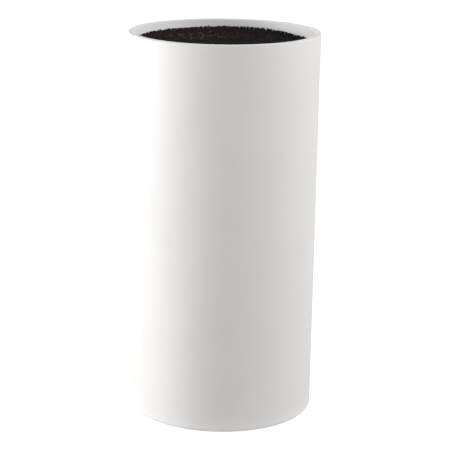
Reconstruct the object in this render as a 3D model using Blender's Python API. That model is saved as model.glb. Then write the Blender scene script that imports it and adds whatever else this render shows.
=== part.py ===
"""Universal knife block: a tapered moulded shell, open at the top, that holds a lift-out bristle insert.

Metres, +Z up. The origin is the centre of the footprint, on the surface that the block stands on.
"""

import math

import bmesh
import bpy
from mathutils import Vector

# Overall size: the rim is HEIGHT above the ground, and the feet hold the moulding FOOT_PROUD off it.
HEIGHT = 0.225
FOOT_PROUD = 0.0015
RIM_RADIUS = 0.055
BASE_RADIUS = 0.0534

# The moulded shell.
WALL = 0.0037
FLOOR = 0.0040
OUTER_LIP_ROUND = 0.0006
INNER_LIP_ROUND = 0.0005
BASE_ROUND = 0.0030
INNER_CORNER = 0.0015
SHELL_SEGMENTS = 64

# Rubber foot pads, each sunk in a shallow round recess of the floor.
PAD_COUNT = 4
PAD_RADIUS = 0.0060
PAD_HEIGHT = 0.0022
PAD_CIRCLE = 0.0400
PAD_CHAMFER = 0.0003
PAD_SEGMENTS = 24

# Clearance between pieces that touch, and how far a cutter runs past the face that it opens.
GAP = 0.0003
CUT_PAST = 0.0050

# The carrier plate that the bristle bundles are set in.
PLATE_RADIUS = 0.0480
PLATE_THICKNESS = 0.0100
PLATE_CHAMFER = 0.0010
HOLE_DEPTH = 0.0065
VENT_COUNT = 6
VENT_RADIUS = 0.0022

# Bristle bundles ("tufts"): round where they are set in the plate, and packed wall to wall above it.
RINGS = (("centre", 1), ("inner", 6), ("middle", 12), ("outer", 18))
ROOT_PITCH = 0.0130
ROOT_RADIUS = 0.0053
TUFT_SIDES = 12
PACKED_ABOVE_PLATE = 0.0350
STRAIGHT_ABOVE_PLATE = 0.0010
TIP_RECESS = 0.0046
WALL_CLEARANCE = 0.0005

FLOOR_TOP = FOOT_PROUD + FLOOR
PLATE_BOTTOM = FLOOR_TOP + GAP
PLATE_TOP = PLATE_BOTTOM + PLATE_THICKNESS
HOLE_BOTTOM = PLATE_TOP - HOLE_DEPTH
TIP_HEIGHT = HEIGHT - TIP_RECESS


def clear_scene():
    for thing in list(bpy.data.objects):
        bpy.data.objects.remove(thing, do_unlink=True)


def new_material(name, colour, roughness):
    material = bpy.data.materials.new(name)
    material.use_nodes = True
    shader = material.node_tree.nodes["Principled BSDF"]
    shader.inputs["Base Color"].default_value = (*colour, 1.0)
    shader.inputs["Roughness"].default_value = roughness
    shader.inputs["Metallic"].default_value = 0.0
    return material


def shell_material():
    return new_material("satin_white_plastic", (0.83, 0.82, 0.81), 0.42)


def rubber_material():
    return new_material("grey_rubber", (0.10, 0.10, 0.10), 0.85)


def plate_material():
    return new_material("black_carrier_plastic", (0.022, 0.021, 0.021), 0.50)


def bristle_material():
    return new_material("black_bristle_plastic", (0.030, 0.025, 0.024), 0.45)


def add_object(name, mesh, material=None, parent=None, location=(0.0, 0.0, 0.0), turn=0.0):
    thing = bpy.data.objects.new(name, mesh)
    bpy.context.scene.collection.objects.link(thing)
    thing.location = location
    thing.rotation_euler = (0.0, 0.0, turn)
    thing.parent = parent
    if material and not mesh.materials:
        mesh.materials.append(material)
    return thing


def finish_mesh(name, bm):
    """The bmesh as a smooth-shaded mesh whose faces point out."""
    bmesh.ops.recalc_face_normals(bm, faces=bm.faces)
    mesh = bpy.data.meshes.new(name)
    bm.to_mesh(mesh)
    bm.free()
    mesh.shade_smooth()
    mesh.set_sharp_from_angle(angle=math.radians(35))
    return mesh


def polar(radius, angle, height=0.0):
    return Vector((radius * math.cos(angle), radius * math.sin(angle), height))


def circle(centre, radius, sides, turn=0.0):
    """Points round an upright axis through the centre."""
    return [centre + polar(radius, turn + math.tau * i / sides) for i in range(sides)]


def arc(centre, radius, start, end, steps):
    """Points (r, z) of an arc of a turned profile, from one angle to the other, in degrees."""
    points = []
    for i in range(steps + 1):
        angle = math.radians(start + (end - start) * i / steps)
        points.append((centre[0] + radius * math.cos(angle), centre[1] + radius * math.sin(angle)))
    return points


def turned_mesh(name, profile, segments):
    """A solid of revolution about Z, from a profile of (r, z) points that starts and ends on the axis."""
    bm = bmesh.new()
    rings = []
    for radius, height in profile:
        centre = Vector((0.0, 0.0, height))
        if radius == 0.0:
            rings.append([bm.verts.new(centre)] * segments)
        else:
            rings.append([bm.verts.new(point) for point in circle(centre, radius, segments)])
    for low, high in zip(rings, rings[1:]):
        for i in range(segments):
            after = (i + 1) % segments
            corners = dict.fromkeys((low[i], low[after], high[after], high[i]))
            bm.faces.new(list(corners))
    return finish_mesh(name, bm)


def cutter_object(name, cylinders, segments):
    """A hidden cutter of upright cylinders, each given as (x, y, low z, high z, radius, turn)."""
    bm = bmesh.new()
    for x, y, low, high, radius, turn in cylinders:
        ends = []
        for z in (low, high):
            outline = circle(Vector((x, y, z)), radius, segments, turn)
            ends.append([bm.verts.new(point) for point in outline])
        for i in range(segments):
            after = (i + 1) % segments
            bm.faces.new((ends[0][i], ends[0][after], ends[1][after], ends[1][i]))
        bm.faces.new(list(reversed(ends[0])))
        bm.faces.new(ends[1])
    cutter = add_object(name, finish_mesh(name, bm))
    cutter.hide_render = True
    cutter.display_type = "WIRE"
    return cutter


def cut(thing, cutter):
    modifier = thing.modifiers.new(cutter.name, "BOOLEAN")
    modifier.operation = "DIFFERENCE"
    modifier.solver = "EXACT"
    modifier.object = cutter


def outer_radius(height):
    """The shell's outside, which tapers evenly from the rim down to the base."""
    share = (height - FOOT_PROUD) / (HEIGHT - FOOT_PROUD)
    return BASE_RADIUS + (RIM_RADIUS - BASE_RADIUS) * share


def inner_radius(height):
    return outer_radius(height) - WALL


def pad_places():
    return [(math.tau * (i + 0.5) / PAD_COUNT, i + 1) for i in range(PAD_COUNT)]


def make_shell():
    """One thick-walled moulding: floor, tapered wall and a flat lip with rounded edges."""
    base_centre = (outer_radius(FOOT_PROUD + BASE_ROUND) - BASE_ROUND, FOOT_PROUD + BASE_ROUND)
    outer_lip_height = HEIGHT - OUTER_LIP_ROUND
    inner_lip_height = HEIGHT - INNER_LIP_ROUND
    outer_lip_centre = (outer_radius(outer_lip_height) - OUTER_LIP_ROUND, outer_lip_height)
    inner_lip_centre = (inner_radius(inner_lip_height) + INNER_LIP_ROUND, inner_lip_height)
    corner = (inner_radius(FLOOR_TOP + INNER_CORNER) - INNER_CORNER, FLOOR_TOP + INNER_CORNER)
    profile = [(0.0, FOOT_PROUD)]
    profile += arc(base_centre, BASE_ROUND, -90, 0, 3)
    profile += arc(outer_lip_centre, OUTER_LIP_ROUND, 0, 90, 3)
    profile += arc(inner_lip_centre, INNER_LIP_ROUND, 90, 180, 4)
    profile += arc(corner, INNER_CORNER, 0, -90, 2)
    profile += [(0.0, FLOOR_TOP)]
    mesh = turned_mesh("outer_shell", profile, SHELL_SEGMENTS)
    shell = add_object("outer_shell", mesh, shell_material())
    recess_top = PAD_HEIGHT + GAP
    recesses = []
    for angle, _ in pad_places():
        place = polar(PAD_CIRCLE, angle)
        recesses.append((place.x, place.y, -CUT_PAST, recess_top, PAD_RADIUS + GAP, 0.0))
    cut(shell, cutter_object("pad_recess_cutter", recesses, PAD_SEGMENTS))


def make_foot_pads():
    profile = [
        (0.0, 0.0),
        (PAD_RADIUS - PAD_CHAMFER, 0.0),
        (PAD_RADIUS, PAD_CHAMFER),
        (PAD_RADIUS, PAD_HEIGHT),
        (0.0, PAD_HEIGHT),
    ]
    mesh = turned_mesh("foot_pad", profile, PAD_SEGMENTS)
    material = rubber_material()
    for angle, number in pad_places():
        add_object(f"foot_pad_{number}", mesh, material, location=polar(PAD_CIRCLE, angle))


def tuft_places():
    """(name, ring, angle) of every bundle."""
    for ring, (label, count) in enumerate(RINGS):
        for i in range(count):
            name = f"tuft_{label}" if count == 1 else f"tuft_{label}_{i + 1}"
            yield name, ring, math.tau * (i + 0.5 * (ring % 2)) / count


def make_plate(insert):
    """The carrier: a round plate with a blind hole for each bundle, and edge notches for air and water."""
    profile = [
        (0.0, PLATE_BOTTOM),
        (PLATE_RADIUS - PLATE_CHAMFER, PLATE_BOTTOM),
        (PLATE_RADIUS, PLATE_BOTTOM + PLATE_CHAMFER),
        (PLATE_RADIUS, PLATE_TOP - PLATE_CHAMFER),
        (PLATE_RADIUS - PLATE_CHAMFER, PLATE_TOP),
        (0.0, PLATE_TOP),
    ]
    mesh = turned_mesh("insert_plate", profile, SHELL_SEGMENTS)
    plate = add_object("insert_plate", mesh, plate_material(), insert, -insert.location)
    holes = []
    for _, ring, angle in tuft_places():
        place = polar(ROOT_PITCH * ring, angle)
        holes.append((place.x, place.y, HOLE_BOTTOM, PLATE_TOP + CUT_PAST, ROOT_RADIUS + GAP, angle))
    cut(plate, cutter_object("tuft_hole_cutter", holes, TUFT_SIDES))
    vents = []
    for i in range(VENT_COUNT):
        place = polar(PLATE_RADIUS, math.tau * i / VENT_COUNT)
        vents.append((place.x, place.y, PLATE_BOTTOM - CUT_PAST, PLATE_TOP + CUT_PAST, VENT_RADIUS, 0.0))
    cut(plate, cutter_object("vent_cutter", vents, TUFT_SIDES))


def packed_outline(ring, height):
    """Outline of a bundle on +X where it is packed against its neighbours: a sector of its ring."""
    ring_step = (inner_radius(height) - WALL_CLEARANCE) / (2 * len(RINGS) - 1)
    outside = ring_step * (2 * ring + 1) - GAP / 2
    if ring == 0:
        return circle(Vector((0.0, 0.0, height)), outside, TUFT_SIDES)
    half = math.pi / RINGS[ring][1]
    arc_steps = TUFT_SIDES // 3
    # A chord of the inner arc dips towards the axis, so its corners stand that much further out.
    inside = (ring_step * (2 * ring - 1) + GAP / 2) / math.cos(half / arc_steps)
    outer_half = half - GAP / 2 / outside
    inner_half = half - GAP / 2 / inside
    outer = [polar(outside, outer_half * (2 * i / arc_steps - 1), height) for i in range(arc_steps + 1)]
    inner = [polar(inside, inner_half * (1 - 2 * i / arc_steps), height) for i in range(arc_steps + 1)]
    return outer + [(outer[-1] + inner[0]) / 2] + inner + [(inner[-1] + outer[0]) / 2]


def round_outline(ring, height):
    """Outline of a bundle on +X in its hole, its points in the packed outline's order."""
    start = 0.0 if ring == 0 else -math.pi / 3
    return circle(Vector((ROOT_PITCH * ring, 0.0, height)), ROOT_RADIUS, TUFT_SIDES, start)


def tuft_mesh(ring):
    """One bundle as a solid, from the bottom of its hole to its tips, about its hole's axis."""
    outlines = [
        round_outline(ring, HOLE_BOTTOM + GAP),
        round_outline(ring, PLATE_TOP + STRAIGHT_ABOVE_PLATE),
        packed_outline(ring, PLATE_TOP + PACKED_ABOVE_PLATE),
        packed_outline(ring, TIP_HEIGHT),
    ]
    bm = bmesh.new()
    axis = Vector((ROOT_PITCH * ring, 0.0, PLATE_BOTTOM))
    levels = [[bm.verts.new(point - axis) for point in outline] for outline in outlines]
    for low, high in zip(levels, levels[1:]):
        for i in range(TUFT_SIDES):
            after = (i + 1) % TUFT_SIDES
            bm.faces.new((low[i], low[after], high[after], high[i]))
    bm.faces.new(list(reversed(levels[0])))
    bm.faces.new(levels[-1])
    return finish_mesh(f"tuft_{RINGS[ring][0]}", bm)


def make_tufts(insert):
    meshes = [tuft_mesh(ring) for ring in range(len(RINGS))]
    material = bristle_material()
    for name, ring, angle in tuft_places():
        add_object(name, meshes[ring], material, insert, polar(ROOT_PITCH * ring, angle), angle)


def make_insert_axis():
    """The empty that the lift-out insert hangs on: its axis is the block's own, upwards."""
    insert = bpy.data.objects.new("insert_axis", None)
    bpy.context.scene.collection.objects.link(insert)
    insert.location = (0.0, 0.0, PLATE_BOTTOM)
    return insert


def main():
    clear_scene()
    make_shell()
    make_foot_pads()
    insert = make_insert_axis()
    make_plate(insert)
    make_tufts(insert)


main()
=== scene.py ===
"""Looks for the round bristle knife block: a fine white shell, its plate and pads, and every filament."""

import math

import bmesh
import bpy
import numpy as np
from mathutils import Matrix, Vector


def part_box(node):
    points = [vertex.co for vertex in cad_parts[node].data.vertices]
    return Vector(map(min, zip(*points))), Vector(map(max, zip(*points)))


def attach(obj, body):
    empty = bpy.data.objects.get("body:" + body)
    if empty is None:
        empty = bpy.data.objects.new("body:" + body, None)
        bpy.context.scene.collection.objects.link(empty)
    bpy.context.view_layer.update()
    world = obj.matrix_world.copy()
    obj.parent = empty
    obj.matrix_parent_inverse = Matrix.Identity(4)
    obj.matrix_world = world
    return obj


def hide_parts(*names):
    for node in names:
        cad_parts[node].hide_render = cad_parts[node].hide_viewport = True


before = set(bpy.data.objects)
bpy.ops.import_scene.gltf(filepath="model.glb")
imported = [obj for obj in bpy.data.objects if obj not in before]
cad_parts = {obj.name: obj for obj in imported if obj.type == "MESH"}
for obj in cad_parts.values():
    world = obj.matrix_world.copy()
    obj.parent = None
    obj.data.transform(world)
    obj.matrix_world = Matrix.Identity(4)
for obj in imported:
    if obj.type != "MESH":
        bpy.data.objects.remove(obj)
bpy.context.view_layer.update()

# Sizes the CAD model was built to, in metres.
GROUND_TO_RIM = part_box("outer_shell")[1].z
FOOT_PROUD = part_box("outer_shell")[0].z
RIM_RADIUS = 0.0550
BASE_RADIUS = 0.0534
WALL = 0.0037
FLOOR = 0.0040
OUTER_LIP_ROUND = 0.0006
INNER_LIP_ROUND = 0.0005
BASE_ROUND = 0.0030
INNER_CORNER = 0.0015
PAD_RADIUS = 0.0060
PAD_CLEARANCE = 0.0003
PAD_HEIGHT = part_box("foot_pad_1")[1].z
PLATE_RADIUS = 0.0480
PLATE_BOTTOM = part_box("insert_plate")[0].z
PLATE_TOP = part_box("insert_plate")[1].z
TUFT_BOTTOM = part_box("tuft_centre")[0].z
TUFT_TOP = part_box("tuft_centre")[1].z
HOLE_CLEARANCE = 0.0003
ROOT_RADIUS = 0.0053
ROOT_PITCH = 0.0130
RINGS = (("centre", 1), ("inner", 6), ("middle", 12), ("outer", 18))
VENT_COUNT = 6
VENT_RADIUS = 0.0022

# Finer detail of the shell, the pads and the plate.
GATE_MARK_DEPTH = 0.0004
GATE_MARK_RADIUS = 0.0016
GATE_MARK_EDGE = 0.0024
PAD_EDGE = 0.0005
GROOVE_RADII = (0.0022, 0.0040)
GROOVE_HALF_WIDTH = 0.0003
GROOVE_HALF_BOTTOM = 0.00015
GROOVE_DEPTH = 0.00025
PLATE_EDGE = 0.0010

# Meshing: how far the cutters stick out of what they cut, and how finely the turned pieces are divided.
RECESS_OVERRUN = 0.002
HOLE_OVERRUN = 0.003
WALL_STEPS = 12
SHELL_SEGMENTS = 256
PLATE_SEGMENTS = 192
PAD_SEGMENTS = 64
HOLE_SEGMENTS = 32
SHARP_DEGREES = 40

# Bristles. They fill the shell from PACKED_ABOVE_PLATE up, which is 10 mm higher than in the CAD model.
# The levels are shares of a filament's length, closer together near its root and its tip.
SEED = 11
PACKED_ABOVE_PLATE = 0.0450
FILAMENT_RADIUS = 0.00044
FILAMENT_GIRTH = (0.9, 1.08)
FILAMENT_SIDES = 6
FILAMENT_SHARP_DEGREES = 50
FILAMENTS_PER_TUFT = 124
FILAMENTS_IN_CENTRE = 92
LEVELS = (0.0, 0.035, 0.09, 0.16, 0.25, 0.42, 0.62, 0.82, 0.95, 0.985, 1.0)
TRIMMED_SEGMENTS = 2
SHAKE = 0.35
FILL_GAP = 0.0003
WALL_GAP = 0.00025
TIP_UNEVENNESS = 0.00011
LONG_TIP_SHARE = 0.03
LONG_TIP = (0.0001, 0.0004)
SHORT_TIP_SHARE = 0.08
SHORT_TIP = (0.0003, 0.0009)
TIP_SLANT = (0.0, 0.45)
TIP_WEAR = 0.72
TIP_CROWN = 0.00012
WAVE_LENGTH = (0.07, 0.14)
WAVE_DEPTH = (0.0002, 0.0007)
LOOSE_ABOVE = 0.12
LOOSE_REACH = (0.0, 0.0008)

# Bristle colours. The noise is stretched along the filaments.
ALONG_FILAMENT = (1.0, 1.0, 0.02)
CLUMP_REACH = 0.8
BLACK_DARK = (0.0060, 0.0042, 0.0048)
BLACK_LIGHT = (0.0110, 0.0078, 0.0090)
# Painted light across the fill: lighter and browner on the left, where the key light falls, darker and bluer
# on the right.
PAINTED_LIGHT_LEFT = (0.0460, 0.0300, 0.0225)
PAINTED_LIGHT_MIDDLE = (0.0321, 0.0188, 0.0225)
PAINTED_LIGHT_RIGHT = (0.0130, 0.0155, 0.0215)
# Painted glints: pale clusters on the tips in one patch left of the middle, where the key light catches
# them.
GLINT_PATCH = (-0.017, 0.012, 0.0)
GLINT_PATCH_RADIUS = 0.019
GLINT_NEEDED = (0.55, 0.72)
GLINT_EDGE = 0.06
PAINTED_GLINT_COLOUR = (0.0950, 0.0700, 0.0730)
GLINT_TINT = (1.0, 0.70, 0.76, 1.0)

# Camera: where it stands from the block's axis and above its rim, and how it is turned.
CAMERA_BACK = 0.9551
CAMERA_ABOVE_RIM = 0.1349
CAMERA_PITCH = 0.25505
CAMERA_ROLL = 0.0115
CAMERA_LENS_MM = 134.6
CAMERA_SENSOR_MM = 36.0
CAMERA_SHIFT_X = 0.00545
CAMERA_CLIP = 0.01

# Studio.
SOFT_BOX_DISTANCE = 1.25
SURROUND_LIGHT = 0.45
SURROUND_SEEN = 1.05
FLOOR_RADIUS = 6.0
FLOOR_BELOW = 0.0002
FLOOR_SEEN = 0.92
FLOOR_GREY = (0.35, 0.35, 0.35, 1.0)
# Painted glow of the floor just around the block, which lights the block's lower edge.
BOUNCE_REACH = 0.005
BOUNCE_STRENGTH = 0.40
WHITE = (1.0, 1.0, 1.0, 1.0)


# ---------------------------------------------------------------- materials

def new_material(name):
    material = bpy.data.materials.new(name)
    material.use_nodes = True
    return material, material.node_tree.nodes, material.node_tree.links


def add_noise(nodes, links, scale, detail, stretch=(1.0, 1.0, 1.0)):
    """Noise in the object's own metres, so it doesn't move with the view."""
    coords = nodes.new("ShaderNodeTexCoord")
    mapping = nodes.new("ShaderNodeMapping")
    mapping.inputs["Scale"].default_value = stretch
    links.new(coords.outputs["Object"], mapping.inputs["Vector"])
    noise = nodes.new("ShaderNodeTexNoise")
    noise.inputs["Scale"].default_value = scale
    noise.inputs["Detail"].default_value = detail
    links.new(mapping.outputs["Vector"], noise.inputs["Vector"])
    return noise.outputs["Fac"]


def map_range(nodes, links, value, source, target):
    """The value, where it lies between the ends of source, spread between the ends of target."""
    node = nodes.new("ShaderNodeMapRange")
    node.inputs["From Min"].default_value = source[0]
    node.inputs["From Max"].default_value = source[1]
    node.inputs["To Min"].default_value = target[0]
    node.inputs["To Max"].default_value = target[1]
    links.new(value, node.inputs["Value"])
    return node.outputs["Result"]


def spread_noise(nodes, links, noise, target):
    """The noise's middle stretch, 0.3 to 0.7, spread between the ends of target."""
    return map_range(nodes, links, noise, (0.3, 0.7), target)


def mix_colours(nodes, links, noise, dark, light):
    """The noise's middle stretch, 0.3 to 0.7, as a blend from dark to light."""
    ramp = nodes.new("ShaderNodeValToRGB")
    ramp.color_ramp.elements[0].position = 0.3
    ramp.color_ramp.elements[0].color = (*dark, 1.0)
    ramp.color_ramp.elements[1].position = 0.7
    ramp.color_ramp.elements[1].color = (*light, 1.0)
    links.new(noise, ramp.inputs["Fac"])
    return ramp.outputs["Color"]


def add_bump(nodes, links, shader, value, strength, distance):
    bump = nodes.new("ShaderNodeBump")
    bump.inputs["Strength"].default_value = strength
    bump.inputs["Distance"].default_value = distance
    links.new(value, bump.inputs["Height"])
    links.new(bump.outputs["Normal"], shader.inputs["Normal"])


def moulded_plastic(name, dark, light, roughness, grain_scale, grain_depth):
    """Moulded plastic: slight cloudiness in its colour, uneven sheen and a fine eroded grain."""
    material, nodes, links = new_material(name)
    shader = nodes["Principled BSDF"]
    cloud = add_noise(nodes, links, scale=38.0, detail=3.0)
    sheen = add_noise(nodes, links, scale=150.0, detail=4.0)
    grain = add_noise(nodes, links, scale=grain_scale, detail=2.0)
    links.new(mix_colours(nodes, links, cloud, dark, light), shader.inputs["Base Color"])
    links.new(spread_noise(nodes, links, sheen, roughness), shader.inputs["Roughness"])
    add_bump(nodes, links, shader, grain, strength=0.35, distance=grain_depth)
    return material


def shell_material():
    material = moulded_plastic(
        "satin_white_plastic",
        dark=(0.795, 0.782, 0.772),
        light=(0.815, 0.803, 0.795),
        roughness=(0.56, 0.66),
        grain_scale=2600.0,
        grain_depth=0.00004,
    )
    shader = material.node_tree.nodes["Principled BSDF"]
    shader.inputs["IOR"].default_value = 1.48
    return material


def plate_material():
    return moulded_plastic(
        "black_carrier_plastic",
        dark=(0.018, 0.017, 0.017),
        light=(0.028, 0.026, 0.026),
        roughness=(0.38, 0.55),
        grain_scale=1800.0,
        grain_depth=0.00005,
    )


def rubber_material():
    return moulded_plastic(
        "grey_rubber",
        dark=(0.075, 0.075, 0.077),
        light=(0.11, 0.11, 0.112),
        roughness=(0.75, 0.9),
        grain_scale=1500.0,
        grain_depth=0.0001,
    )


def across_block(nodes, links):
    """0 at the block's left and 1 at its right, made uneven by clumps of bristles."""
    coords = nodes.new("ShaderNodeTexCoord")
    axes = nodes.new("ShaderNodeSeparateXYZ")
    links.new(coords.outputs["Object"], axes.inputs["Vector"])
    across = map_range(nodes, links, axes.outputs["X"], (-RIM_RADIUS, RIM_RADIUS), (0.0, 1.0))
    clump = add_noise(nodes, links, scale=70.0, detail=2.0, stretch=ALONG_FILAMENT)
    uneven = nodes.new("ShaderNodeMath")
    uneven.operation = "MULTIPLY_ADD"
    links.new(clump, uneven.inputs[0])
    uneven.inputs[1].default_value = -CLUMP_REACH
    uneven.inputs[2].default_value = CLUMP_REACH / 2
    place = nodes.new("ShaderNodeMath")
    links.new(across, place.inputs[0])
    links.new(uneven.outputs["Value"], place.inputs[1])
    return place.outputs["Value"]


def painted_light_across(nodes, links):
    """Painted light across the fill: lighter brown on the left, where the key light falls, then red-black;
    darker blue-black on the right.
    """
    ramp = nodes.new("ShaderNodeValToRGB")
    stops = ramp.color_ramp.elements
    stops[0].position = 0.20
    stops[0].color = (*PAINTED_LIGHT_LEFT, 1.0)
    stops[1].position = 0.80
    stops[1].color = (*PAINTED_LIGHT_RIGHT, 1.0)
    middle = stops.new(0.58)
    middle.color = (*PAINTED_LIGHT_MIDDLE, 1.0)
    links.new(across_block(nodes, links), ramp.inputs["Fac"])
    return ramp.outputs["Color"]


def painted_glint_share(nodes, links):
    """1 on the few clusters of filament tips with painted glints, most of them in one patch left of the
    middle.
    """
    cluster = add_noise(nodes, links, scale=205.0, detail=3.0, stretch=ALONG_FILAMENT)
    coords = nodes.new("ShaderNodeTexCoord")
    flat = nodes.new("ShaderNodeVectorMath")
    flat.operation = "MULTIPLY"
    flat.inputs[1].default_value = (1.0, 1.0, 0.0)
    links.new(coords.outputs["Object"], flat.inputs[0])
    away = nodes.new("ShaderNodeVectorMath")
    away.operation = "DISTANCE"
    away.inputs[1].default_value = GLINT_PATCH
    links.new(flat.outputs["Vector"], away.inputs[0])
    patch_edge = (GLINT_PATCH_RADIUS * 0.6, GLINT_PATCH_RADIUS * 1.4)
    needed = map_range(nodes, links, away.outputs["Value"], patch_edge, GLINT_NEEDED)
    above = nodes.new("ShaderNodeMath")
    above.operation = "SUBTRACT"
    links.new(cluster, above.inputs[0])
    links.new(needed, above.inputs[1])
    return map_range(nodes, links, above.outputs["Value"], (0.0, GLINT_EDGE), (0.0, 1.0))


def add_blend(nodes, links, first):
    """A node that blends a second colour into the first; its caller sets the factor and that colour."""
    blend = nodes.new("ShaderNodeMix")
    blend.data_type = "RGBA"
    links.new(first, blend.inputs["A"])
    return blend


def bristle_material(name, painted_light_share, roughness, specular_level):
    """Black nylon: each filament its own near-black, with painted light from the left laid over it unevenly,
    and a few painted glints.
    """
    material, nodes, links = new_material(name)
    shader = nodes["Principled BSDF"]
    tone = add_noise(nodes, links, scale=620.0, detail=1.0, stretch=ALONG_FILAMENT)
    sheen = add_noise(nodes, links, scale=900.0, detail=1.0, stretch=(1.0, 1.0, 0.05))
    drawn = add_noise(nodes, links, scale=2400.0, detail=2.0, stretch=(1.0, 1.0, 0.04))
    # Painted light: the share of the left-to-right painted light over the filaments' own near-black.
    lit_across = add_blend(nodes, links, mix_colours(nodes, links, tone, BLACK_DARK, BLACK_LIGHT))
    lit_across.inputs["Factor"].default_value = painted_light_share
    links.new(painted_light_across(nodes, links), lit_across.inputs["B"])
    # Painted glints: pale clusters on the filament tips.
    glints = add_blend(nodes, links, lit_across.outputs["Result"])
    links.new(painted_glint_share(nodes, links), glints.inputs["Factor"])
    glints.inputs["B"].default_value = (*PAINTED_GLINT_COLOUR, 1.0)
    links.new(glints.outputs["Result"], shader.inputs["Base Color"])
    links.new(spread_noise(nodes, links, sheen, roughness), shader.inputs["Roughness"])
    shader.inputs["Specular IOR Level"].default_value = specular_level
    shader.inputs["Specular Tint"].default_value = GLINT_TINT
    add_bump(nodes, links, shader, drawn, strength=0.3, distance=0.00005)
    return material


# ---------------------------------------------------------------- mesh tools

def polar(radius, angle, height=0.0):
    return Vector((radius * math.cos(angle), radius * math.sin(angle), height))


def arc(centre, radius, start, end, steps):
    """Points (r, z) of an arc of a turned profile, from one angle to the other, in degrees."""
    points = []
    for i in range(steps + 1):
        angle = math.radians(start + (end - start) * i / steps)
        points.append((centre[0] + radius * math.cos(angle), centre[1] + radius * math.sin(angle)))
    return points


def turned_mesh(name, profile, segments):
    """A solid of revolution about Z, from a profile of (r, z) points that starts and ends on the axis."""
    bm = bmesh.new()
    angles = [math.tau * i / segments for i in range(segments)]
    rings = []
    for radius, height in profile:
        if radius == 0.0:
            rings.append([bm.verts.new((0.0, 0.0, height))] * segments)
        else:
            rings.append([bm.verts.new(polar(radius, angle, height)) for angle in angles])
    for low, high in zip(rings, rings[1:]):
        for i in range(segments):
            after = (i + 1) % segments
            bm.faces.new(list(dict.fromkeys((low[i], low[after], high[after], high[i]))))
    bmesh.ops.recalc_face_normals(bm, faces=bm.faces)
    mesh = bpy.data.meshes.new(name)
    bm.to_mesh(mesh)
    bm.free()
    return mesh


def add_object(name, mesh, material):
    thing = bpy.data.objects.new(name, mesh)
    bpy.context.scene.collection.objects.link(thing)
    mesh.materials.append(material)
    return thing


def shade(thing, sharp_degrees):
    thing.data.shade_smooth()
    thing.data.set_sharp_from_angle(angle=math.radians(sharp_degrees))


def cut_cylinders(thing, cylinders, segments):
    """Cuts upright cylinders, each (centre, low z, high z, radius), out of a piece."""
    bm = bmesh.new()
    for centre, low, high, radius in cylinders:
        bmesh.ops.create_cone(
            bm,
            cap_ends=True,
            segments=segments,
            radius1=radius,
            radius2=radius,
            depth=high - low,
            matrix=Matrix.Translation((centre.x, centre.y, (low + high) / 2)),
        )
    mesh = bpy.data.meshes.new("cutter")
    bm.to_mesh(mesh)
    bm.free()
    cutter = bpy.data.objects.new("cutter", mesh)
    bpy.context.scene.collection.objects.link(cutter)
    modifier = thing.modifiers.new("cut", "BOOLEAN")
    modifier.operation = "DIFFERENCE"
    modifier.solver = "EXACT"
    modifier.object = cutter
    bpy.context.view_layer.objects.active = thing
    bpy.ops.object.modifier_apply(modifier=modifier.name)
    bpy.data.objects.remove(cutter, do_unlink=True)


def outer_radius(height):
    share = (height - FOOT_PROUD) / (GROUND_TO_RIM - FOOT_PROUD)
    return BASE_RADIUS + (RIM_RADIUS - BASE_RADIUS) * share


def inner_radius(height):
    return outer_radius(height) - WALL


# ---------------------------------------------------------------- shell, pads, plate

def pad_names():
    return sorted(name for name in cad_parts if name.startswith("foot_pad"))


def middle_of(node):
    low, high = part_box(node)
    return (low + high) / 2


def wall_points(radius_at, start, end):
    """Points (r, z) along a tapered wall, between two heights but without them."""
    heights = [start + (end - start) * i / WALL_STEPS for i in range(1, WALL_STEPS)]
    return [(radius_at(height), height) for height in heights]


def shell_profile():
    """Half the shell's section: gate mark, base, outer wall, flat lip with rounded edges, inside."""
    floor_top = FOOT_PROUD + FLOOR
    gate_top = FOOT_PROUD + GATE_MARK_DEPTH
    base = (outer_radius(FOOT_PROUD + BASE_ROUND) - BASE_ROUND, FOOT_PROUD + BASE_ROUND)
    corner = (inner_radius(floor_top + INNER_CORNER) - INNER_CORNER, floor_top + INNER_CORNER)
    outer_top = GROUND_TO_RIM - OUTER_LIP_ROUND
    inner_top = GROUND_TO_RIM - INNER_LIP_ROUND
    outer_lip = (outer_radius(outer_top) - OUTER_LIP_ROUND, outer_top)
    inner_lip = (inner_radius(inner_top) + INNER_LIP_ROUND, inner_top)
    profile = [(0.0, gate_top), (GATE_MARK_RADIUS, gate_top), (GATE_MARK_EDGE, FOOT_PROUD)]
    profile += arc(base, BASE_ROUND, -90, 0, steps=12)
    profile += wall_points(outer_radius, base[1], outer_top)
    profile += arc(outer_lip, OUTER_LIP_ROUND, 0, 90, steps=8)
    profile += arc(inner_lip, INNER_LIP_ROUND, 90, 180, steps=10)
    profile += wall_points(inner_radius, inner_top, corner[1])
    profile += arc(corner, INNER_CORNER, 0, -90, steps=6)
    profile += [(0.0, floor_top)]
    return profile


def make_shell():
    """The white moulding, with a recess underneath for each pad."""
    mesh = turned_mesh("moulded_shell", shell_profile(), SHELL_SEGMENTS)
    shell = add_object("moulded_shell", mesh, shell_material())
    top = PAD_HEIGHT + PAD_CLEARANCE
    radius = PAD_RADIUS + PAD_CLEARANCE
    recesses = [(middle_of(name), -RECESS_OVERRUN, top, radius) for name in pad_names()]
    cut_cylinders(shell, recesses, PAD_SEGMENTS)
    shade(shell, SHARP_DEGREES)
    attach(shell, "housing")
    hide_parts("outer_shell")


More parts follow.
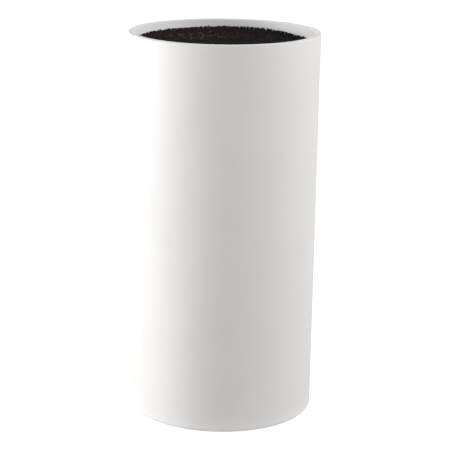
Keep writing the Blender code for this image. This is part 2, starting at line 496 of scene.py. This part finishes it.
def make_pads():
    """Rubber pads with a rounded edge and two grip grooves in the face that stands on the worktop."""
    profile = [(0.0, 0.0)]
    for middle in GROOVE_RADII:
        profile += [(middle - GROOVE_HALF_WIDTH, 0.0), (middle - GROOVE_HALF_BOTTOM, GROOVE_DEPTH)]
        profile += [(middle + GROOVE_HALF_BOTTOM, GROOVE_DEPTH), (middle + GROOVE_HALF_WIDTH, 0.0)]
    profile += arc((PAD_RADIUS - PAD_EDGE, PAD_EDGE), PAD_EDGE, -90, 0, steps=6)
    profile += [(PAD_RADIUS, PAD_HEIGHT), (0.0, PAD_HEIGHT)]
    material = rubber_material()
    for name in pad_names():
        mesh = turned_mesh(name + "_rubber", profile, PAD_SEGMENTS)
        mesh.transform(Matrix.Translation((middle_of(name).x, middle_of(name).y, 0.0)))
        pad = add_object(name + "_rubber", mesh, material)
        shade(pad, SHARP_DEGREES)
        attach(pad, "housing")
        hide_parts(name)


def tuft_places():
    """(node name, ring, angle) of every bundle, as the plate's holes are laid out."""
    for ring, (label, count) in enumerate(RINGS):
        for i in range(count):
            name = f"tuft_{label}" if count == 1 else f"tuft_{label}_{i + 1}"
            yield name, ring, math.tau * (i + 0.5 * (ring % 2)) / count


def make_plate():
    """The black carrier: rounded edges, a blind hole for each bundle, and notches round its rim."""
    middle = PLATE_RADIUS - PLATE_EDGE
    profile = [(0.0, PLATE_BOTTOM)]
    profile += arc((middle, PLATE_BOTTOM + PLATE_EDGE), PLATE_EDGE, -90, 0, steps=6)
    profile += arc((middle, PLATE_TOP - PLATE_EDGE), PLATE_EDGE, 0, 90, steps=6)
    profile += [(0.0, PLATE_TOP)]
    mesh = turned_mesh("carrier_plate", profile, PLATE_SEGMENTS)
    plate = add_object("carrier_plate", mesh, plate_material())
    bottom, top = TUFT_BOTTOM - HOLE_CLEARANCE, PLATE_TOP + HOLE_OVERRUN
    holes = []
    for _, ring, angle in tuft_places():
        holes.append((polar(ROOT_PITCH * ring, angle), bottom, top, ROOT_RADIUS + HOLE_CLEARANCE))
    cut_cylinders(plate, holes, HOLE_SEGMENTS)
    vents = []
    for i in range(VENT_COUNT):
        centre = polar(PLATE_RADIUS, math.tau * i / VENT_COUNT)
        vents.append((centre, PLATE_BOTTOM - HOLE_OVERRUN, top, VENT_RADIUS))
    cut_cylinders(plate, vents, HOLE_SEGMENTS)
    shade(plate, SHARP_DEGREES)
    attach(plate, "insert")
    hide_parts("insert_plate")


# ---------------------------------------------------------------- bristles

def smooth(x):
    x = np.clip(x, 0.0, 1.0)
    return x * x * (3.0 - 2.0 * x)


def bell(angle, middle_degrees, width):
    """1 at the middle angle, falling off on both sides; the width is in radians."""
    return np.exp(-((angle - math.radians(middle_degrees)) / width) ** 2)


def spread(count, random):
    """Even but unruly points in the square from -1 to 1: a low-discrepancy run, each shaken a little."""
    steps = np.array([0.7548776662, 0.5698402910])
    points = (0.5 + (np.arange(count)[:, None] + 1.0) * steps) % 1.0 * 2.0 - 1.0
    points += random.normal(0.0, SHAKE / math.sqrt(count), points.shape)
    return np.clip(points, -1.0, 1.0)


def square_to_disc(points):
    """Concentric map of the square onto the unit disc, which keeps neighbours together."""
    x, y = points[:, 0], points[:, 1]
    radius = np.maximum(np.abs(x), np.abs(y))
    flat = np.abs(x) >= np.abs(y)
    share = np.where(flat, y / np.where(x == 0.0, 1.0, x), x / np.where(y == 0.0, 1.0, y))
    turned = np.where(flat, share, 2.0 - share) * math.pi / 4
    turned = np.where(np.where(flat, x, y) < 0.0, turned + math.pi, turned)
    return np.column_stack([radius * np.cos(turned), radius * np.sin(turned)])


def trimmed_height(x, y):
    """Where the trimmed tips end: a little proud at the back and back left, lower at the back right."""
    angle = np.arctan2(y, x)
    radius = np.hypot(x, y) / inner_radius(TUFT_TOP)
    by_wall = smooth((radius - 0.5) / 0.5)
    back = 0.0008 * radius * bell(angle, 83, 0.50)
    dip = -0.0012 * by_wall * bell(angle, 27, 0.38)
    rise = 0.0003 * by_wall * bell(angle, 142, 0.40)
    return TUFT_TOP + back + dip + rise


def filament_places(ring, angle, count, random):
    """Where a bundle's filaments stand: (x, y) in their round hole, and in their share of the fill."""
    square = spread(count, random)
    disc = square_to_disc(square)
    step = (inner_radius(TUFT_TOP) - FILAMENT_RADIUS - FILL_GAP) / (2 * len(RINGS) - 1)
    root = disc * (ROOT_RADIUS - FILAMENT_RADIUS)
    root = np.column_stack([ROOT_PITCH * ring + root[:, 0], root[:, 1]])
    if ring == 0:
        top = disc * step
    else:
        inside, outside = step * (2 * ring - 1), step * (2 * ring + 1)
        radius = np.sqrt((inside**2 + outside**2) / 2 + square[:, 0] * (outside**2 - inside**2) / 2)
        side = square[:, 1] * math.pi / RINGS[ring][1]
        top = np.column_stack([radius * np.cos(side), radius * np.sin(side)])
    turn = np.array([[math.cos(angle), math.sin(angle)], [-math.sin(angle), math.cos(angle)]])
    return root @ turn, top @ turn


def tip_heights(top, random):
    """The height of each tip: trimmed nearly even, with a few left long and some cut short."""
    count = len(top)
    tips = trimmed_height(top[:, 0], top[:, 1]) + random.normal(0.0, TIP_UNEVENNESS, count)
    tips += np.where(random.random(count) < LONG_TIP_SHARE, random.uniform(*LONG_TIP, count), 0.0)
    tips -= np.where(random.random(count) < SHORT_TIP_SHARE, random.uniform(*SHORT_TIP, count), 0.0)
    return tips


def sideways(count, random):
    """A random horizontal direction for each filament, as (filament, 1, xy)."""
    turn = random.uniform(0.0, math.tau, count)
    return np.column_stack([np.cos(turn), np.sin(turn)])[:, None, :]


def bristle_paths(ring, angle, count, random):
    """Points (filament, level, xyz) down the middle of each filament of a bundle."""
    root, top = filament_places(ring, angle, count, random)
    tips = tip_heights(top, random)
    heights = TUFT_BOTTOM + (tips[:, None] - TUFT_BOTTOM) * np.array(LEVELS)
    open_share = smooth((heights - PLATE_TOP) / PACKED_ABOVE_PLATE)[..., None]
    xy = root[:, None, :] + (top - root)[:, None, :] * open_share
    wave = random.uniform(0.0, math.tau, (count, 1))
    length = random.uniform(*WAVE_LENGTH, (count, 1))
    swing = np.sin(math.tau * heights / length + wave)[..., None] * open_share
    way = sideways(count, random)
    xy = xy + way * swing * random.uniform(*WAVE_DEPTH, (count, 1, 1))
    out = sideways(count, random)
    bend = (np.clip((heights - LOOSE_ABOVE) / (TUFT_TOP - LOOSE_ABOVE), 0.0, 1.0) ** 3)[..., None]
    xy = xy + out * bend * random.uniform(*LOOSE_REACH, (count, 1, 1))
    limit = inner_radius(heights) - FILAMENT_RADIUS - WALL_GAP
    xy *= np.minimum(1.0, limit / np.linalg.norm(xy, axis=2))[..., None]
    return np.concatenate([xy, heights[..., None]], axis=2)


def filament_points(paths, random):
    """Rings of points round the paths, and one more for each slightly slanted cut tip's worn edge."""
    count = len(paths)
    sides = np.arange(FILAMENT_SIDES) * math.tau / FILAMENT_SIDES
    turn = random.uniform(0.0, math.tau, (count, 1))
    ring = np.stack([np.cos(sides + turn), np.sin(sides + turn), np.zeros((count, FILAMENT_SIDES))], axis=2)
    girth = FILAMENT_RADIUS * random.uniform(*FILAMENT_GIRTH, (count, 1, 1))
    body = paths[:, :, None, :] + (ring * girth)[:, None, :, :]
    slant_way = random.uniform(0.0, math.tau, (count, 1))
    slant = random.uniform(*TIP_SLANT, (count, 1)) * np.cos(sides + turn - slant_way) * girth[:, :, 0]
    body[:, -1, :, 2] += slant
    cap = paths[:, -1, None, :] + ring * girth * TIP_WEAR
    cap[:, :, 2] += slant * TIP_WEAR + TIP_CROWN
    return np.concatenate([body, cap[:, None]], axis=1)


def filament_faces(count, segments):
    """The corners of every side, then of every lower end, then of every tip."""
    side = np.arange(FILAMENT_SIDES)[None, :]
    after = (side + 1) % FILAMENT_SIDES
    low = np.arange(segments)[:, None] * FILAMENT_SIDES
    high = low + FILAMENT_SIDES
    quads = np.stack([low + side, low + after, high + after, high + side], axis=2).reshape(-1, 4)
    starts = np.arange(count)[:, None] * (segments + 1) * FILAMENT_SIDES
    sides = (starts[:, :, None] + quads[None]).reshape(-1, 4)
    lower_ends = starts + side[:, ::-1]
    tips = starts + segments * FILAMENT_SIDES + side
    return sides.tolist() + lower_ends.tolist() + tips.tolist()


def bristle_mesh(name, paths, random):
    """Six-sided filaments along the paths; their last segments and their tips take the second material."""
    count, segments, _ = paths.shape
    points = filament_points(paths, random)
    mesh = bpy.data.meshes.new(name)
    mesh.from_pydata(points.reshape(-1, 3).tolist(), [], filament_faces(count, segments))
    trimmed = np.repeat(np.arange(segments) >= segments - TRIMMED_SEGMENTS, FILAMENT_SIDES)
    finish = np.concatenate([np.tile(trimmed, count), np.zeros(count, bool), np.ones(count, bool)])
    mesh.polygons.foreach_set("material_index", finish.astype(np.int32))
    mesh.update()
    return mesh


def make_bristles():
    """Every bundle as separate filaments, with glossy sides and matt trimmed ends that take more of the
    painted light from the left.
    """
    random = np.random.default_rng(SEED)
    sides = bristle_material(
        "black_bristle_nylon", painted_light_share=0.2, roughness=(0.28, 0.45), specular_level=0.30
    )
    ends = bristle_material(
        "trimmed_bristle_ends", painted_light_share=0.5, roughness=(0.45, 0.65), specular_level=0.04
    )
    for node, ring, angle in tuft_places():
        count = FILAMENTS_IN_CENTRE if ring == 0 else FILAMENTS_PER_TUFT
        paths = bristle_paths(ring, angle, count, random)
        name = node.replace("tuft", "bristles")
        bristles = add_object(name, bristle_mesh(name, paths, random), sides)
        bristles.data.materials.append(ends)
        shade(bristles, FILAMENT_SHARP_DEGREES)
        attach(bristles, "insert")
        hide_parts(node)


# ---------------------------------------------------------------- studio

def make_camera():
    data = bpy.data.cameras.new("camera")
    data.sensor_width = CAMERA_SENSOR_MM
    data.lens = CAMERA_LENS_MM
    data.shift_x = CAMERA_SHIFT_X
    data.clip_start = CAMERA_CLIP
    camera = bpy.data.objects.new("camera", data)
    bpy.context.scene.collection.objects.link(camera)
    place = Matrix.Translation((0.0, -CAMERA_BACK, GROUND_TO_RIM + CAMERA_ABOVE_RIM))
    turn = Matrix.Rotation(math.pi / 2 - CAMERA_PITCH, 4, "X") @ Matrix.Rotation(CAMERA_ROLL, 4, "Z")
    camera.matrix_world = place @ turn
    bpy.context.scene.camera = camera


def add_soft_box(name, azimuth, elevation, width, height, power):
    """A rectangular soft box aimed at the block; azimuth 0 degrees is the camera's side and 90 the right."""
    data = bpy.data.lights.new(name, "AREA")
    data.shape = "RECTANGLE"
    data.size = width
    data.size_y = height
    data.energy = power
    light = bpy.data.objects.new(name, data)
    bpy.context.scene.collection.objects.link(light)
    target = Vector((0.0, 0.0, GROUND_TO_RIM / 2))
    turn, lift = math.radians(azimuth), math.radians(elevation)
    level = math.cos(lift)
    direction = Vector((level * math.sin(turn), -level * math.cos(turn), math.sin(lift)))
    light.location = target + direction * SOFT_BOX_DISTANCE
    light.rotation_euler = (-direction).to_track_quat("-Z", "Y").to_euler()


def make_lights():
    """A low key light from the left, a fill at the front left, two on the right and a low one behind."""
    add_soft_box("left_soft_box", azimuth=-90, elevation=8, width=0.50, height=0.35, power=12.85)
    add_soft_box("front_left_soft_box", azimuth=-30, elevation=22, width=0.50, height=0.40, power=3.0)
    add_soft_box("right_soft_box", azimuth=70, elevation=22, width=0.50, height=0.40, power=5.0)
    add_soft_box("right_back_soft_box", azimuth=110, elevation=22, width=0.50, height=0.40, power=5.5)
    add_soft_box("back_soft_box", azimuth=180, elevation=8, width=0.50, height=0.35, power=3.0)


def make_world():
    """A white surround: the camera sees it pure white, and it lights the block more gently."""
    world = bpy.data.worlds.new("studio")
    bpy.context.scene.world = world
    world.use_nodes = True
    nodes, links = world.node_tree.nodes, world.node_tree.links
    background = nodes["Background"]
    background.inputs["Color"].default_value = WHITE
    seen = nodes.new("ShaderNodeLightPath").outputs["Is Camera Ray"]
    strength = map_range(nodes, links, seen, (0.0, 1.0), (SURROUND_LIGHT, SURROUND_SEEN))
    links.new(strength, background.inputs["Strength"])


def painted_bounce_glow(nodes, links):
    """A painted glow on the floor just around the block, standing in for the light the floor would throw
    back up at its lower edge.
    """
    coords = nodes.new("ShaderNodeTexCoord")
    away = nodes.new("ShaderNodeVectorMath")
    away.operation = "LENGTH"
    links.new(coords.outputs["Object"], away.inputs[0])
    edge = (RIM_RADIUS + BOUNCE_REACH * 0.5, RIM_RADIUS + BOUNCE_REACH * 1.5)
    return map_range(nodes, links, away.outputs["Value"], edge, (BOUNCE_STRENGTH, 0.0))


def floor_material():
    """A rough pale grey that the camera sees nearly white and that glows just around the block."""
    material, nodes, links = new_material("pale_floor")
    shader = nodes["Principled BSDF"]
    shader.inputs["Base Color"].default_value = FLOOR_GREY
    shader.inputs["Roughness"].default_value = 1.0
    shader.inputs["Specular IOR Level"].default_value = 0.0
    shader.inputs["Emission Color"].default_value = WHITE
    path = nodes.new("ShaderNodeLightPath")
    glow = nodes.new("ShaderNodeMapRange")
    glow.inputs["To Max"].default_value = FLOOR_SEEN
    links.new(path.outputs["Is Camera Ray"], glow.inputs["Value"])
    links.new(painted_bounce_glow(nodes, links), glow.inputs["To Min"])
    links.new(glow.outputs["Result"], shader.inputs["Emission Strength"])
    return material


def make_floor():
    """A wide pale floor, bright enough that only a trace of the block's shadow is left on it."""
    bm = bmesh.new()
    bmesh.ops.create_circle(bm, cap_ends=True, segments=96, radius=FLOOR_RADIUS)
    mesh = bpy.data.meshes.new("floor")
    bm.to_mesh(mesh)
    bm.free()
    floor = add_object("floor", mesh, floor_material())
    floor.location.z = -FLOOR_BELOW


def main():
    make_camera()
    make_world()
    make_lights()
    make_floor()
    make_shell()
    make_pads()
    make_plate()
    make_bristles()
    bpy.context.scene.view_settings.view_transform = "Standard"


main()
